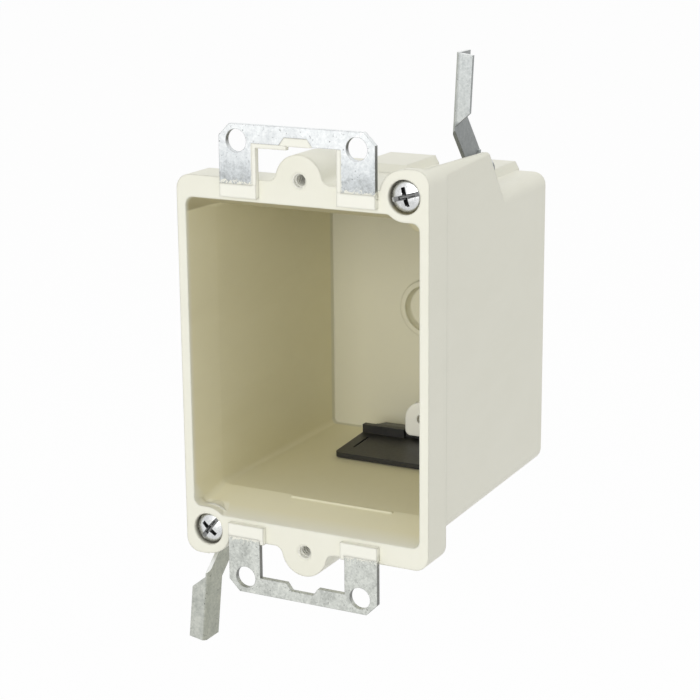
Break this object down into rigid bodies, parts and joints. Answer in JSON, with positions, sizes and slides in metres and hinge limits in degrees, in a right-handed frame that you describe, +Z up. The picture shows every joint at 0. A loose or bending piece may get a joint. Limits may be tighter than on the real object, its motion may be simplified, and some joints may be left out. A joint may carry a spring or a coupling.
{
  "type": "switch box",
  "caption": "Old-work wall switch box with flange, metal ears, corner clamp screws with swing arms, device screw bosses and cable clamps inside.",
  "frame": {"origin": "centre of the front opening, on the front face of the flange, halfway between the two device screw holes", "axes": "+X to the right seen from the front, +Y back into the wall, +Z up"},
  "size_m": [0.0608, 0.0696, 0.1343],
  "materials": {
    "moulding": "satin cream",
    "galvanised": "mottled zinc coat",
    "zinc": "bright zinc plate",
    "black_plastic": "satin black"
  },
  "bodies": {
    "box": {"box_shell": "moulding", "upper_ear": "galvanised", "lower_ear": "galvanised"},
    "upper_screw": {"upper_clamp_screw": "zinc"},
    "upper_arm": {"upper_swing_arm": "galvanised"},
    "lower_screw": {"lower_clamp_screw": "zinc"},
    "lower_arm": {"lower_swing_arm": "galvanised"},
    "upper_clamp": {"upper_cable_clamp": "black_plastic"},
    "lower_clamp": {"lower_cable_clamp": "black_plastic"}
  },
  "joints": [
    {"name": "upper_screw_swing", "type": "hinge", "parent": "box", "child": "upper_screw", "pos_m": [0.02475, 0.02, 0.0401], "axis": [0, 1, 0], "range_deg": [-90, 0]},
    {"name": "upper_arm_travel", "type": "slide", "parent": "upper_screw", "child": "upper_arm", "axis": [0, 1, 0], "range_m": [-0.009, 0.0015]},
    {"name": "lower_screw_swing", "type": "hinge", "parent": "box", "child": "lower_screw", "pos_m": [-0.02475, 0.02, -0.0401], "axis": [0, 1, 0], "range_deg": [-12, 0]},
    {"name": "lower_arm_travel", "type": "slide", "parent": "lower_screw", "child": "lower_arm", "axis": [0, 1, 0], "range_m": [0, 0.0279]},
    {"name": "upper_clamp_lift", "type": "hinge", "parent": "box", "child": "upper_clamp", "pos_m": [0.003, 0.0552, 0.0319], "axis": [1, 0, 0], "range_deg": [0, 12], "stiffness_Nm_per_rad": 0.02},
    {"name": "lower_clamp_lift", "type": "hinge", "parent": "box", "child": "lower_clamp", "pos_m": [0.003, 0.0552, -0.0319], "axis": [-1, 0, 0], "range_deg": [0, 12], "stiffness_Nm_per_rad": 0.02}
  ]
}
